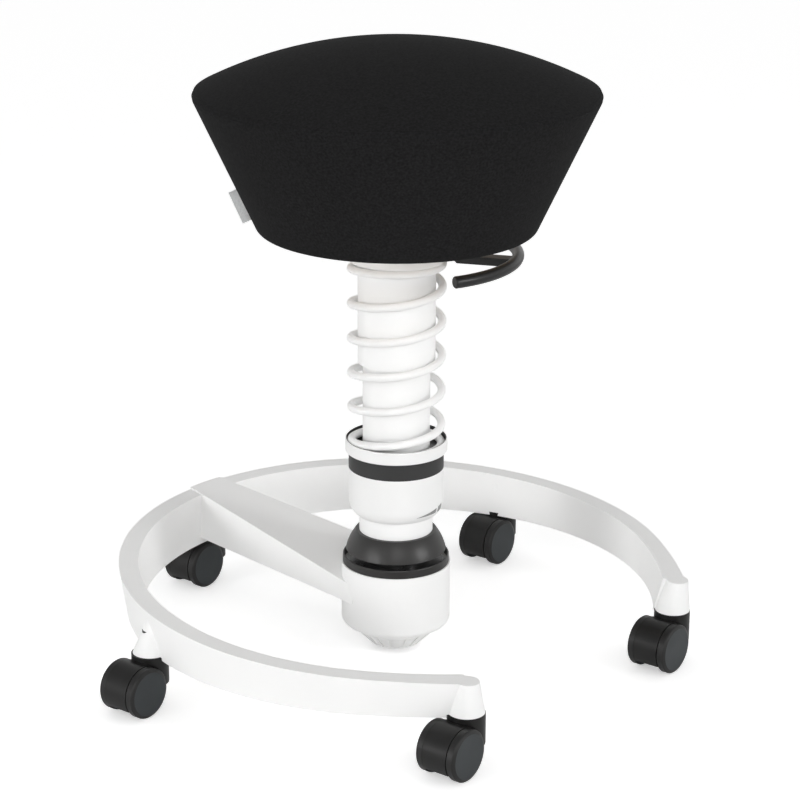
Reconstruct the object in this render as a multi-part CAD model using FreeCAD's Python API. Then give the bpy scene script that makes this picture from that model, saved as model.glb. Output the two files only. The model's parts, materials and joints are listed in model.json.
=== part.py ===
import FreeCAD, Part
import math
import os

# Wobble stool: a cone-shaped padded seat on a sprung telescopic column that tilts in any
# direction, carried by an open ring base on five twin-wheel castors.
# Millimetres. Origin on the floor at the column's axis, +Z up, +Y along the base's arm to the
# ring (the rear), the ring's open side towards -Y. Rest: seat at its lowest, spring extended.

V = FreeCAD.Vector

# Clearances
RUN = 0.05                    # radial clearance of a shaft or rod turning or sliding in its bore
FREE = 0.3                    # gap between curved faces that move past each other
SEAT = 0.02                   # gap round a piece that is pressed or clamped in place

# Base casting: ring
RING_OUTER_R = 281.4          # outer radius at the underside
RING_WIDTH = 16.2             # width of the underside
RING_INNER_R = RING_OUTER_R - RING_WIDTH
RING_OUTER_DRAFT = 0.14       # outward lean of the outer wall, mm per mm of height
RING_INNER_DRAFT = 0.07       # outward lean of the inner wall
RING_BOTTOM_Z = 52.8
RING_TOP_Z = 97.9             # height of the top face level with the ring's centre
RING_TOP_SLOPE = 0.036        # the top falls from the rear to the open side
RING_SHIFT = 3.3              # ring centre lies this far in front of the column
RING_FLARE_FROM = 124.0       # degrees from the rear: here the ring starts to open out
RING_FLARE_R = 600.0          # radius of the flared ends
RING_WALL = 4.0
RING_TOP_SKIN = 5.0
CASTOR_OUT = 3.2              # castor stems stand this far outside the underside's rim
CASTOR_R = RING_OUTER_R + CASTOR_OUT
CASTOR_STEP = 72.3            # degrees between the rear castor and the side ones
CASTOR_END = 144.9            # degrees between the rear castor and the front ones
BOSS_R = 18.5                 # foot radius of the conical castor bosses
BOSS_TOP_R = 9.5
BOSS_DROP = 11.0              # the bosses between the ends stop this far below the ring's top
BOSS_FOOT_Z = 56.3            # seat of the castor, in a shallow recess of the ring's underside
BOSS_RECESS_R = 20.0
RIB_W = 4.0                   # stiffening ribs under the ring and the arm

# Base casting: arm and hub
ARM_RING_HALF = 28.5          # half width of the arm's top face where it meets the ring
ARM_HUB_HALF = 51.0           # half width of the arm's top face at the hub
ARM_HUB_Y = 34.0
ARM_RING_Y = 265.0
ARM_HUB_Z = 81.0              # height of the arm's top face at the hub
ARM_SLOPE = 0.118             # the top climbs towards the ring
ARM_BOTTOM_Z = 60.0
ARM_DRAFT = 3.0               # the underside is wider than the top by this on each side
ARM_WALL = 5.0
HUB_R = 56.4
HUB_BOTTOM_Z = 28.4
HUB_TOP_Z = 96.3
HUB_BORE_R = 48.0
HUB_FLOOR = 5.6
HUB_EDGE = 7.5                # rounding of the hub's lower edge

# Flexible joint in the hub
PIVOT_Z = 98.0                # centre of the ball, about which the column leans
BALL_R = 20.0
LINER_T = 2.4                 # rubber liner round the ball
LINER_HALF_H = 13.5
LEDGE_Z = 80.0                # the bearing cup stands on this step in the hub's bore
BEARING_CAP_R = 32.0
BEARING_CAP_TOP_Z = 106.0
CAP_SCREW_CIRCLE_R = 27.5
CAP_SCREW_R = 1.5
STEM_R = 10.0
SHOULDER_R = 14.0
SHOULDER_Z = 118.0
PENDULUM_R = 8.0
FOOT_R = 13.0
FOOT_Z = 50.0
FOOT_H = 8.0
BUFFER_R = 44.0               # bore for the rubber buffer
BUFFER_BORE_R = 26.0
BUFFER_MOUTH_R = 19.0
BUFFER_CONE_Z = 62.0
PLATE_T = 4.1                 # plate that squeezes the buffer
PLATE_TRAVEL = 4.5            # it can be screwed down by this much
PLATE_TOP_Z = HUB_BOTTOM_Z + HUB_FLOOR + PLATE_TRAVEL + 0.4 + PLATE_T
PLATE_NUT_R = 10.0
PLATE_NUT_H = 4.0
SPINDLE_R = 6.0

# Firmness knob under the hub
KNOB_TOP_R = 44.0
KNOB_FOOT_R = 27.0
KNOB_Z = 7.0
KNOB_RIM_H = 4.0
KNOB_GRIPS = 20
KNOB_GRIP_DEPTH = 2.0
KNOB_GRIP_W = 3.2
KNOB_SKIN = 3.5

# Rubber boot
BOOT_RING_R = 55.0
BOOT_RING_H = 8.5
DOME_R = 53.2                 # the dome is a ball about the pivot, so that it rolls in its ring
DOME_T = 4.0
DOME_SKIRT_Z = 110.3
DOME_TOP_Z = 131.3

# Column, lower half
NECK_R = 37.9
NECK_BOTTOM_Z = 124.0
NECK_FLOOR_Z = 131.0
NECK_FLOOR_H = 8.0
NECK_TOP_Z = 200.0
LOWER_TUBE_R = 34.4
LOWER_TUBE_T = 3.0
STEM_NUT_R = 16.0
STEM_NUT_H = 8.0

# Spring cup, turned by hand
CUP_R = 48.9
CUP_FOOT_R = 43.0
CUP_FOOT_Z = 151.4
CUP_ROUND_Z = 165.0           # from here down the cup rounds in to its foot
CUP_RIM_R = 52.4
CUP_RIM_Z = 218.2
CUP_TOP_Z = 231.0
CUP_SHELF_Z = CUP_RIM_Z + 0.5 # inside, the bore widens here to the rim's
CUP_WALL = 2.2
CUP_RIM_WALL = 1.7

# Coil spring
WIRE_D = 8.4
SPRING_MEAN_R = 46.0
SPRING_SEAT_Z = 220.45        # top of the lower spring seat
SPRING_SEAT_T = 3.5
SPRING_TOUCH = 0.05
CLIMB_TURNS = 5.25            # turns between the two flat ends, the gentle starts included
END_TURNS = 0.5               # flat run before the climb
CLIMB_RAMP = 0.25             # turns over which the climb begins and ends
SPRING_START_DEG = -128.0
BOUNCE = 50.0                 # travel of the seat against the spring

# Column, upper half
UPPER_TUBE_R = 39.35
UPPER_TUBE_T = 2.0
UPPER_TUBE_BOTTOM_Z = 312.6
FLANGE_R = 49.4
FLANGE_Z = 419.7
FLANGE_H = 12.0
BUSH_H = 20.0
STAND_TUBE_R = 25.0
STAND_TUBE_T = 2.0
STAND_TUBE_BOTTOM_Z = 210.0
STAND_TUBE_FLOOR = 3.0
TOP_BUSH_H = 30.0
BUMPER_H = 5.0
LOWER_TUBE_TOP_Z = FLANGE_Z - BUMPER_H - BOUNCE - 0.7

# Gas spring
GAS_R = 14.0
GAS_BORE_R = 11.0
GAS_BOTTOM_Z = 232.0
GAS_TOP_Z = 446.0
GAS_END = 5.0
GAS_HEAD = 10.0
ROD_R = 5.0
PISTON_H = 10.0
LIFT = 120.0                  # height adjustment of the seat
PISTON_Z = GAS_BOTTOM_Z + GAS_END + LIFT + 18.0
BEARING_R = 12.0
BEARING_H = 6.0
VALVE_PIN_R = 3.0
VALVE_PIN_H = 4.0              # the release button stands this far above the cylinder
CLIP_T = 1.0
COLLAR_H = 3.0

# Seat
SEAT_R = 199.3
SEAT_FOOT_R = 136.5
SEAT_SEAM_Z = 588.6
SEAT_BOTTOM_Z = 450.6
SEAT_DOME_R = 425.0
SEAT_LIP = 3.0                # rounding at the seam
SEAT_FOOT_ROUND = 5.0
SEAT_SIDE_BOW = 1.5           # the fabric sides pull in a little between the two rims
PAN_R = 128.0
PAN_T = 8.0
PAN_Z = 452.6
PAN_HOLE_R = 36.0
SEAT_HUB_R = 22.0
SEAT_HUB_Z = 434.0
SEAT_PLATE_R = 60.0
SEAT_PLATE_T = 4.0
PAN_SCREWS = 4
PAN_SCREW_CIRCLE_R = 48.0
SCREW_R = 3.0
SCREW_HEAD_R = 5.5
SCREW_HEAD_H = 3.0
TAG_LOW_Z = 464.0
TAG_HIGH_Z = 495.5
TAG_OUT = 12.0
TAG_T = 1.0
TAG_DEG = 137.8

# Height lever: a handle bent on a circle about the column, with one arm
LEVER_R = 121.0
LEVER_ROD_R = 6.0
LEVER_Z = 425.0
LEVER_DEG = -63.0             # direction of the arm
LEVER_HALF_DEG = 48.0         # the handle reaches this far to each side of the arm
LEVER_ARM_W = 14.0
LEVER_ARM_T = 8.0
LEVER_PIN_R = 2.5
LEVER_PIN_AT = 30.0           # distance of the hinge pin from the column's axis
LEVER_PIN_Z = 442.0
LEVER_KNEE = 66.0             # here the arm bends up towards its hinge
LEVER_FINGER_Z = 450.5        # underside of the finger over the release button
EAR_T = 5.0

# Castors
WHEEL_R = 25.6
WHEEL_OUTER = 22.5            # outer faces, measured from the castor's middle plane
DISC_INNER = 13.9
HOOD_HALF = 13.6
HOOD_R = 26.0
HOOD_BORE_R = 22.4
WHEEL_INNER_R = 22.0          # the part of the wheel that runs inside the hood
WEB_HALF = 2.8
TRAIL = 24.8
TRAIL_DEG = 183.9             # direction in which the wheels trail
HOOD_OPEN_Z = 11.0            # the hood ends above the floor
CASTOR_NECK_R = 18.5
CASTOR_NECK_LOW = 25.0
CASTOR_NECK_TOP = BOSS_FOOT_Z - 0.4
CASTOR_STEM_R = 5.5
CASTOR_STEM_LOW = 40.0
CASTOR_STEM_TOP = 79.0
SOCKET_R = 7.0
SOCKET_TOP = 80.0
AXLE_R = 3.0
AXLE_HALF = 20.0
WHEEL_HUB_R = 7.0
WHEEL_RIM_T = 3.5
WHEEL_CHAMFER = 2.6


def save(shape, node):
    """Write one sub-part."""
    shape.exportStep("parts/" + node + ".step")


def tube(outer, inner, low, high, at=V(0, 0, 0)):
    """An upright tube, or a plain cylinder where inner is 0."""
    body = Part.makeCylinder(outer, high - low, at + V(0, 0, low))
    if inner <= 0:
        return body
    return body.cut(Part.makeCylinder(inner, high - low, at + V(0, 0, low)))


def turned(points):
    """A solid of revolution about Z from (radius, height) points. A point given as
    (radius, height, mid radius, mid height) is reached by an arc through the middle point."""
    edges = []
    here = V(points[0][0], 0, points[0][1])
    for p in points[1:] + points[:1]:
        there = V(p[0], 0, p[1])
        if (there - here).Length < 1e-6:
            continue
        if len(p) == 4:
            edges.append(Part.Arc(here, V(p[2], 0, p[3]), there).toShape())
        else:
            edges.append(Part.LineSegment(here, there).toShape())
        here = there
    face = Part.Face(Part.Wire(edges))
    return face.revolve(V(0, 0, 0), V(0, 0, 1), 360)


def polar(radius, degrees, z=0.0):
    a = math.radians(degrees)
    return V(radius * math.cos(a), radius * math.sin(a), z)


def ring_point(radius, degrees, z=0.0):
    """A point about the ring's centre, where 0 degrees is the rear, +Y."""
    return polar(radius, 90 + degrees, z) - V(0, RING_SHIFT, 0)


def castor_places():
    """Plan positions of the five castor stems, rear first."""
    angles = (0, CASTOR_STEP, -CASTOR_STEP, CASTOR_END, -CASTOR_END)
    return [ring_point(CASTOR_R, a) for a in angles]


# Base casting

def side_path(radius, flare_radius, z, end):
    """Points of one side of the ring: end, flare, main arc, flare, end."""
    shift = flare_radius - radius
    half = math.radians(RING_FLARE_FROM)
    centre_x = -shift * math.sin(half)
    centre_y = -shift * math.cos(half)

    def on_flare(side, degrees):
        a = math.radians(degrees)
        b = centre_x * math.sin(a) + centre_y * math.cos(a)
        c = centre_x ** 2 + centre_y ** 2 - flare_radius ** 2
        reach = b + math.sqrt(b * b - c)
        return ring_point(reach, side * degrees, z)

    middle = (RING_FLARE_FROM + end) / 2
    return [on_flare(1, end), on_flare(1, middle), ring_point(radius, RING_FLARE_FROM, z),
            ring_point(radius, 0, z), ring_point(radius, -RING_FLARE_FROM, z),
            on_flare(-1, middle), on_flare(-1, end)]


def arcs(p):
    return [Part.Arc(p[i], p[i + 1], p[i + 2]).toShape() for i in (0, 2, 4)]


def ring_wire(outer, inner, inner_flare, z, end):
    out = side_path(outer, RING_FLARE_R + outer - RING_OUTER_R, z, end)
    inn = side_path(inner, inner_flare, z, end)
    inn.reverse()
    edges = arcs(out) + [Part.LineSegment(out[-1], inn[0]).toShape()]
    edges += arcs(inn) + [Part.LineSegment(inn[-1], out[0]).toShape()]
    return Part.Wire(edges)


def ring_loft(inset, low, high, end):
    """The ring's body between two heights, drawn in by inset on every wall."""
    wires = []
    for z in (low, high):
        up = z - RING_BOTTOM_Z
        outer = RING_OUTER_R + RING_OUTER_DRAFT * up - inset
        inner = RING_INNER_R + RING_INNER_DRAFT * up + inset
        share = up / (RING_TOP_Z - RING_BOTTOM_Z)
        flare = inner + share * (RING_FLARE_R - RING_OUTER_R)
        wires.append(ring_wire(outer, inner, flare, z, end))
    return Part.makeLoft(wires, True, True)


def above_plane(height, slope, y0):
    """A big block whose underside is the plane z = height + slope * (y - y0)."""
    size = 3 * RING_OUTER_R
    left = [V(-size, y, height + slope * (y - y0)) for y in (-size, size)]
    profile = left + [V(-size, size, size), V(-size, -size, size)]
    face = Part.Face(Part.makePolygon(profile + profile[:1]))
    return face.extrude(V(2 * size, 0, 0))


def arm_solid(inset, low, y_from, y_to):
    """The arm between two distances from the column, drawn in by inset at its sides."""
    top_z = RING_TOP_Z + 20
    taper = (ARM_RING_HALF - ARM_HUB_HALF) / (ARM_RING_Y - ARM_HUB_Y)

    def outline(z):
        lean = ARM_DRAFT * (ARM_HUB_Z - z) / (ARM_HUB_Z - ARM_BOTTOM_Z) - inset
        near = ARM_HUB_HALF + taper * (y_from - ARM_HUB_Y) + lean
        far = ARM_HUB_HALF + taper * (y_to - ARM_HUB_Y) + lean
        corners = [V(near, y_from, z), V(far, y_to, z), V(-far, y_to, z), V(-near, y_from, z)]
        return Part.makePolygon(corners + corners[:1])

    return Part.makeLoft([outline(low), outline(top_z)], True, True)


def ring_wedge(a, b):
    """A tall wedge about the ring's centre between two angles from the rear."""
    reach = 1.4 * RING_OUTER_R
    here = V(0, -RING_SHIFT, 0)
    edges = [Part.LineSegment(here, ring_point(reach, a)).toShape(),
             Part.Arc(ring_point(reach, a), ring_point(reach, (a + b) / 2),
                      ring_point(reach, b)).toShape(),
             Part.LineSegment(ring_point(reach, b), here).toShape()]
    return Part.Face(Part.Wire(edges)).extrude(V(0, 0, 2 * RING_TOP_Z))


def castor_boss(at, angle):
    """Leaning cone from the castor's socket up into the ring's wall."""
    at_end = abs(angle) > RING_FLARE_FROM
    top_z = RING_TOP_Z + RING_TOP_SLOPE * CASTOR_R * math.cos(math.radians(angle))
    top_z += 8.0 if at_end else -BOSS_DROP
    up = top_z - RING_BOTTOM_Z
    wall = RING_OUTER_R + RING_OUTER_DRAFT * up
    top_at = wall - BOSS_TOP_R - 0.5
    if at_end:
        top_at += CASTOR_R + BOSS_R - RING_OUTER_R - BOSS_TOP_R
    low = Part.Wire(Part.makeCircle(BOSS_R, at + V(0, 0, RING_BOTTOM_Z)))
    high = Part.Wire(Part.makeCircle(BOSS_TOP_R, ring_point(top_at, angle, top_z)))
    return Part.makeLoft([low, high], True, True)


def base_casting():
    centre = V(0, -RING_SHIFT, 0)
    roof = RING_TOP_Z + 25
    ring = ring_loft(0, RING_BOTTOM_Z, roof, CASTOR_END)
    ring = ring.cut(above_plane(RING_TOP_Z, RING_TOP_SLOPE, -RING_SHIFT))

    rise = roof - RING_BOTTOM_Z
    envelope = Part.makeCone(RING_OUTER_R, RING_OUTER_R + RING_OUTER_DRAFT * rise, rise,
                             centre + V(0, 0, RING_BOTTOM_Z))
    arm = arm_solid(0, ARM_BOTTOM_Z, 10, RING_OUTER_R + 10).common(envelope)
    arm = arm.cut(above_plane(ARM_HUB_Z, ARM_SLOPE, ARM_HUB_Y))
    hub = Part.makeCylinder(HUB_R, HUB_TOP_Z - HUB_BOTTOM_Z, V(0, 0, HUB_BOTTOM_Z))
    low_edges = [e for e in hub.Edges if abs(e.BoundBox.ZMax - HUB_BOTTOM_Z) < 0.01]
    hub = hub.makeFillet(HUB_EDGE, low_edges)

    # Pockets under the arm and the ring leave walls, a top skin and cross ribs
    arm_skin = above_plane(ARM_HUB_Z - ARM_WALL, ARM_SLOPE, ARM_HUB_Y)
    first = HUB_R + ARM_WALL
    last = RING_INNER_R - RING_SHIFT - ARM_WALL
    length = (last - first - 2 * RIB_W) / 3
    pockets = []
    for i in range(3):
        start = first + i * (length + RIB_W)
        cell = arm_solid(ARM_WALL, ARM_BOTTOM_Z - 1, start, start + length)
        pockets.append(cell.cut(arm_skin))
    channel = ring_loft(RING_WALL, RING_BOTTOM_Z - 1, roof, CASTOR_END - 1)
    channel = channel.cut(above_plane(RING_TOP_Z - RING_TOP_SKIN, RING_TOP_SLOPE, -RING_SHIFT))
    boss_half = math.degrees((BOSS_R + 3) / CASTOR_R)
    rib_half = math.degrees(RIB_W / 2 / CASTOR_R)
    arm_half = math.degrees((ARM_RING_HALF + ARM_WALL) / RING_INNER_R)
    for side in (1, -1):
        for start, end in ((arm_half, CASTOR_STEP - boss_half),
                           (CASTOR_STEP + boss_half, CASTOR_END - boss_half)):
            middle = (start + end) / 2
            for a, b in ((start, middle - rib_half), (middle + rib_half, end)):
                pockets.append(channel.common(ring_wedge(side * a, side * b)))

    places = castor_places()
    angles = (0, CASTOR_STEP, -CASTOR_STEP, CASTOR_END, -CASTOR_END)
    over = above_plane(RING_TOP_Z, RING_TOP_SLOPE, -RING_SHIFT)
    bosses = [castor_boss(at, angle).cut(over) for at, angle in zip(places, angles)]
    body = ring.fuse([arm, hub]).cut(Part.makeCompound(pockets))
    body = body.fuse(bosses)
    bores = [tube(SOCKET_R + SEAT, 0, RING_BOTTOM_Z - 1, SOCKET_TOP + SEAT, at) for at in places]
    bores += [tube(BOSS_RECESS_R, 0, RING_BOTTOM_Z - 1, BOSS_FOOT_Z, at) for at in places]
    bores.append(tube(HUB_BORE_R + SEAT, 0, LEDGE_Z, HUB_TOP_Z + 20))
    bores.append(tube(BUFFER_R, 0, HUB_BOTTOM_Z + HUB_FLOOR, LEDGE_Z))
    bores.append(tube(SPINDLE_R + RUN, 0, HUB_BOTTOM_Z - 1, HUB_TOP_Z))
    body = body.cut(Part.makeCompound(bores))
    return body.removeSplitter()


def castor_sockets():
    sleeves = [tube(SOCKET_R, CASTOR_STEM_R + RUN, BOSS_FOOT_Z, SOCKET_TOP, at)
               for at in castor_places()]
    return Part.makeCompound(sleeves)


# Flexible joint in the hub

def ball_zone(radius, low, high):
    """The slice of a ball about the pivot between two heights."""
    ball = Part.makeSphere(radius, V(0, 0, PIVOT_Z))
    return ball.common(tube(radius + 1, 0, low, high))


LINER_OUTER = BALL_R + FREE + LINER_T


def bearing_cup():
    body = tube(HUB_BORE_R, 0, LEDGE_Z, PIVOT_Z)
    screws = [tube(CAP_SCREW_R + SEAT, 0, PIVOT_Z - 9, PIVOT_Z + 1, at) for at in cap_screw_places()]
    return body.cut(Part.makeCompound([Part.makeSphere(LINER_OUTER + FREE, V(0, 0, PIVOT_Z))] + screws))


def bearing_cap():
    body = tube(BEARING_CAP_R, 0, PIVOT_Z, BEARING_CAP_TOP_Z)
    high = BEARING_CAP_TOP_Z + 1
    screws = [tube(CAP_SCREW_R + SEAT, 0, PIVOT_Z - 1, high, at) for at in cap_screw_places()]
    return body.cut(Part.makeCompound([Part.makeSphere(LINER_OUTER + FREE, V(0, 0, PIVOT_Z))] + screws))


def cap_screw_places():
    return [polar(CAP_SCREW_CIRCLE_R, 45 + 90 * i) for i in range(4)]


def cap_screws():
    out = []
    for at in cap_screw_places():
        shank = tube(CAP_SCREW_R, 0, PIVOT_Z - 8, BEARING_CAP_TOP_Z, at)
        head = tube(2 * CAP_SCREW_R, 0, BEARING_CAP_TOP_Z, BEARING_CAP_TOP_Z + 1.5, at)
        out.append(shank.fuse(head).removeSplitter())
    return Part.makeCompound(out)


def bearing_liner():
    shell = ball_zone(LINER_OUTER, PIVOT_Z - LINER_HALF_H, PIVOT_Z + LINER_HALF_H)
    return shell.cut(Part.makeSphere(BALL_R + FREE, V(0, 0, PIVOT_Z)))


def pivot_stem():
    ball = Part.makeSphere(BALL_R, V(0, 0, PIVOT_Z))
    upper = tube(STEM_R, 0, PIVOT_Z, NECK_FLOOR_Z + NECK_FLOOR_H + STEM_NUT_H + 3)
    shoulder = tube(SHOULDER_R, 0, SHOULDER_Z, NECK_FLOOR_Z)
    lower = tube(PENDULUM_R, 0, FOOT_Z + FOOT_H, PIVOT_Z)
    foot = Part.makeCylinder(FOOT_R, FOOT_H, V(0, 0, FOOT_Z))
    foot = foot.makeFillet(FOOT_H / 4, [e for e in foot.Edges if e.Curve.TypeId == "Part::GeomCircle"])
    return ball.fuse([upper, shoulder, lower, foot]).removeSplitter()


def stem_nut():
    low = NECK_FLOOR_Z + NECK_FLOOR_H
    corners = [polar(STEM_NUT_R, 60 * i, low) for i in range(7)]
    nut = Part.Face(Part.makePolygon(corners)).extrude(V(0, 0, STEM_NUT_H))
    return nut.cut(tube(STEM_R + SEAT, 0, low - 1, low + STEM_NUT_H + 1))


def flex_buffer():
    """Rubber ring round the lower end of the stem. It is what resists the lean."""
    outer = BUFFER_R - SEAT
    return turned([(BUFFER_BORE_R, PLATE_TOP_Z), (outer, PLATE_TOP_Z), (outer, LEDGE_Z - SEAT),
                   (BUFFER_MOUTH_R, LEDGE_Z - SEAT), (BUFFER_MOUTH_R, LEDGE_Z - 10),
                   (BUFFER_BORE_R, BUFFER_CONE_Z)])


def pressure_plate():
    low = PLATE_TOP_Z - PLATE_T
    disc = tube(BUFFER_R - FREE, 0, low, PLATE_TOP_Z - SEAT)
    nut = tube(PLATE_NUT_R, 0, PLATE_TOP_Z - 1, PLATE_TOP_Z + PLATE_NUT_H)
    recess = tube(PLATE_NUT_R + 0.5, 0, low - 1, low + 2)
    windows = [tube(5, 0, low - 1, PLATE_TOP_Z + 1, polar(18, 60 * i)) for i in range(6)]
    bore = tube(SPINDLE_R + RUN, 0, low - 1, PLATE_TOP_Z + PLATE_NUT_H + 1)
    return disc.fuse(nut).cut(Part.makeCompound([recess, bore] + windows)).removeSplitter()


# Firmness knob

def firmness_knob():
    """A cone with finger notches, hollow from below behind a skin of even thickness."""
    top = HUB_BOTTOM_Z - FREE
    shoulder = top - KNOB_RIM_H
    cone = turned([(0, KNOB_Z), (KNOB_FOOT_R, KNOB_Z), (KNOB_TOP_R, shoulder), (KNOB_TOP_R, top), (0, top)])
    notch = turned([(KNOB_FOOT_R - KNOB_GRIP_DEPTH, KNOB_Z - 1), (KNOB_TOP_R + 5, KNOB_Z - 1),
                    (KNOB_TOP_R + 5, shoulder), (KNOB_TOP_R - KNOB_GRIP_DEPTH, shoulder)])
    grips = []
    for i in range(KNOB_GRIPS):
        corner = V(15, -KNOB_GRIP_W / 2, KNOB_Z - 1)
        slab = Part.makeBox(KNOB_TOP_R, KNOB_GRIP_W, shoulder - KNOB_Z + 1, corner)
        slab.rotate(V(0, 0, 0), V(0, 0, 1), 360.0 * i / KNOB_GRIPS)
        grips.append(slab.common(notch))
    inset = KNOB_GRIP_DEPTH + KNOB_SKIN
    hollow = turned([(SPINDLE_R + 4, KNOB_Z - 1), (KNOB_FOOT_R - inset, KNOB_Z - 1),
                     (KNOB_TOP_R - inset - 2, shoulder - 1), (SPINDLE_R + 4, shoulder - 1)])
    socket = tube(SPINDLE_R + SEAT, 0, KNOB_Z + 3, top + 1)
    return cone.cut(Part.makeCompound(grips + [hollow, socket])).removeSplitter()


CLIP_Z = HUB_BOTTOM_Z + HUB_FLOOR + 0.1


def spindle_end():
    body = tube(SPINDLE_R, 0, KNOB_Z + 3 + SEAT, PLATE_TOP_Z - 0.1)
    return body.cut(tube(SPINDLE_R + 1, SPINDLE_R - 0.8, CLIP_Z, CLIP_Z + CLIP_T + 0.1))


def snap_ring(outer, shaft, low):
    """An open ring that snaps into a shaft's groove."""
    ring = tube(outer, shaft - 0.8 + SEAT, low + 0.05, low + 0.05 + CLIP_T)
    return ring.cut(Part.makeBox(outer + 1, 1.5 * shaft, CLIP_T + 2, V(0, -0.75 * shaft, low - 1)))


def knob_clip():
    return snap_ring(9.0, SPINDLE_R, CLIP_Z)


# Rubber boot

def boot_ring():
    inner = DOME_R + FREE
    high = HUB_TOP_Z + BOOT_RING_H
    return turned([(inner, HUB_TOP_Z), (BOOT_RING_R, HUB_TOP_Z), (BOOT_RING_R, high - 1),
                   (BOOT_RING_R - 0.6, high), (inner, high)])


def boot_dome():
    shell = ball_zone(DOME_R, DOME_SKIRT_Z, DOME_TOP_Z)
    return shell.cut([Part.makeSphere(DOME_R - DOME_T, V(0, 0, PIVOT_Z)), tube(NECK_R + SEAT, 0, 100, 200)])


# Column, lower half

def column_neck():
    high = NECK_FLOOR_Z + NECK_FLOOR_H
    sleeve = turned([(NECK_R - 3.5, NECK_BOTTOM_Z), (NECK_R, NECK_BOTTOM_Z), (NECK_R, NECK_TOP_Z),
                     (LOWER_TUBE_R + SEAT, NECK_TOP_Z), (LOWER_TUBE_R + SEAT, high), (STEM_R + SEAT, high),
                     (STEM_R + SEAT, NECK_FLOOR_Z), (NECK_R - 3.5, NECK_FLOOR_Z)])
    return sleeve


def lower_tube():
    return tube(LOWER_TUBE_R, LOWER_TUBE_R - LOWER_TUBE_T, NECK_FLOOR_Z + NECK_FLOOR_H, LOWER_TUBE_TOP_Z)


def spring_seat():
    inner = LOWER_TUBE_R + SEAT
    body = CUP_R - CUP_WALL - FREE
    ledge = CUP_RIM_R - CUP_RIM_WALL - FREE
    ledge_z = CUP_SHELF_Z + FREE
    under = SPRING_SEAT_Z - SPRING_SEAT_T
    return turned([(inner, NECK_TOP_Z), (NECK_R, NECK_TOP_Z), (NECK_R, under - 2.5), (NECK_R + 4, under),
                   (body, under), (body, ledge_z), (ledge, ledge_z), (ledge, SPRING_SEAT_Z),
                   (inner, SPRING_SEAT_Z)])


def spring_cup():
    inner = NECK_R + RUN
    rim_inner = CUP_RIM_R - CUP_RIM_WALL
    bore = CUP_R - CUP_WALL
    out, up = CUP_R - CUP_FOOT_R, CUP_ROUND_Z - CUP_FOOT_Z
    round_r = (out ** 2 + up ** 2) / (2 * out)
    half = math.asin(up / round_r) / 2
    belly_r = CUP_R - round_r * (1 - math.cos(half))
    belly_z = CUP_ROUND_Z - round_r * math.sin(half)
    return turned([(inner, CUP_FOOT_Z), (CUP_FOOT_R, CUP_FOOT_Z),
                   (CUP_R, CUP_ROUND_Z, belly_r, belly_z), (CUP_R, CUP_RIM_Z - 1.5),
                   (CUP_RIM_R - 0.5, CUP_RIM_Z), (CUP_RIM_R, CUP_RIM_Z + 0.5), (CUP_RIM_R, CUP_TOP_Z - 0.8),
                   (CUP_RIM_R - 0.8, CUP_TOP_Z), (rim_inner, CUP_TOP_Z), (rim_inner, CUP_SHELF_Z),
                   (bore, CUP_SHELF_Z), (bore, CUP_ROUND_Z + 1), (inner, CUP_FOOT_Z + 4)])


# Coil spring

SPRING_LOW_Z = SPRING_SEAT_Z + SPRING_TOUCH + WIRE_D / 2
SPRING_HIGH_Z = FLANGE_Z - SPRING_TOUCH - WIRE_D / 2
SPRING_PITCH = (SPRING_HIGH_Z - SPRING_LOW_Z) / CLIMB_TURNS
SPRING_TURNS = END_TURNS + CLIMB_TURNS + CLIMB_RAMP + END_TURNS


def ramp(x):
    """Turns climbed at full pitch after x turns, starting gently over CLIMB_RAMP turns."""
    if x <= 0:
        return 0.0
    if x < CLIMB_RAMP:
        return x * x / (2 * CLIMB_RAMP)
    return x - CLIMB_RAMP / 2


def spring_point(turn):
    climbed = ramp(turn - END_TURNS) - ramp(turn - END_TURNS - CLIMB_TURNS)
    return polar(SPRING_MEAN_R, SPRING_START_DEG + 360 * turn, SPRING_LOW_Z + SPRING_PITCH * climbed)


def spring_tangent(turn):
    step = 1e-4
    return (spring_point(turn + step) - spring_point(turn - step)).normalize()


def arc_from(start, tangent, end):
    """The arc that leaves start along tangent and reaches end."""
    chord = end - start
    across = chord - tangent * chord.dot(tangent)
    radius = chord.Length ** 2 / (2 * across.Length)
    centre = start + across.normalize() * radius
    outward = ((start - centre) + (end - centre)).normalize()
    return Part.Arc(start, centre + outward * radius, end).toShape(), radius


def spring_path():
    """Two arcs to each quarter turn, joined without a corner, with a straight run at each end."""
    steps = int(round(SPRING_TURNS * 4))
    edges = []
    least = 1e9
    for i in range(steps):
        a, b = [SPRING_TURNS * k / steps for k in (i, i + 1)]
        p0, p1, t0, t1 = spring_point(a), spring_point(b), spring_tangent(a), spring_tangent(b)
        v, t, k = p1 - p0, t0 + t1, 1 - t0.dot(t1)
        d = (-v.dot(t) + math.sqrt(v.dot(t) ** 2 + 2 * k * v.dot(v))) / (2 * k)
        joint = (p0 + p1 + (t0 - t1) * d) * 0.5
        first, r0 = arc_from(p0, t0, joint)
        back, r1 = arc_from(p1, t1 * -1, joint)
        second = Part.Arc(joint, back.valueAt((back.FirstParameter + back.LastParameter) / 2), p1).toShape()
        edges += [first, second]
        least = min(least, r0, r1)
    start, end = spring_point(0), spring_point(SPRING_TURNS)
    run = WIRE_D / 2
    edges.insert(0, Part.LineSegment(start - spring_tangent(0) * run, start).toShape())
    edges.append(Part.LineSegment(end, end + spring_tangent(SPRING_TURNS) * run).toShape())
    return edges, least


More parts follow.
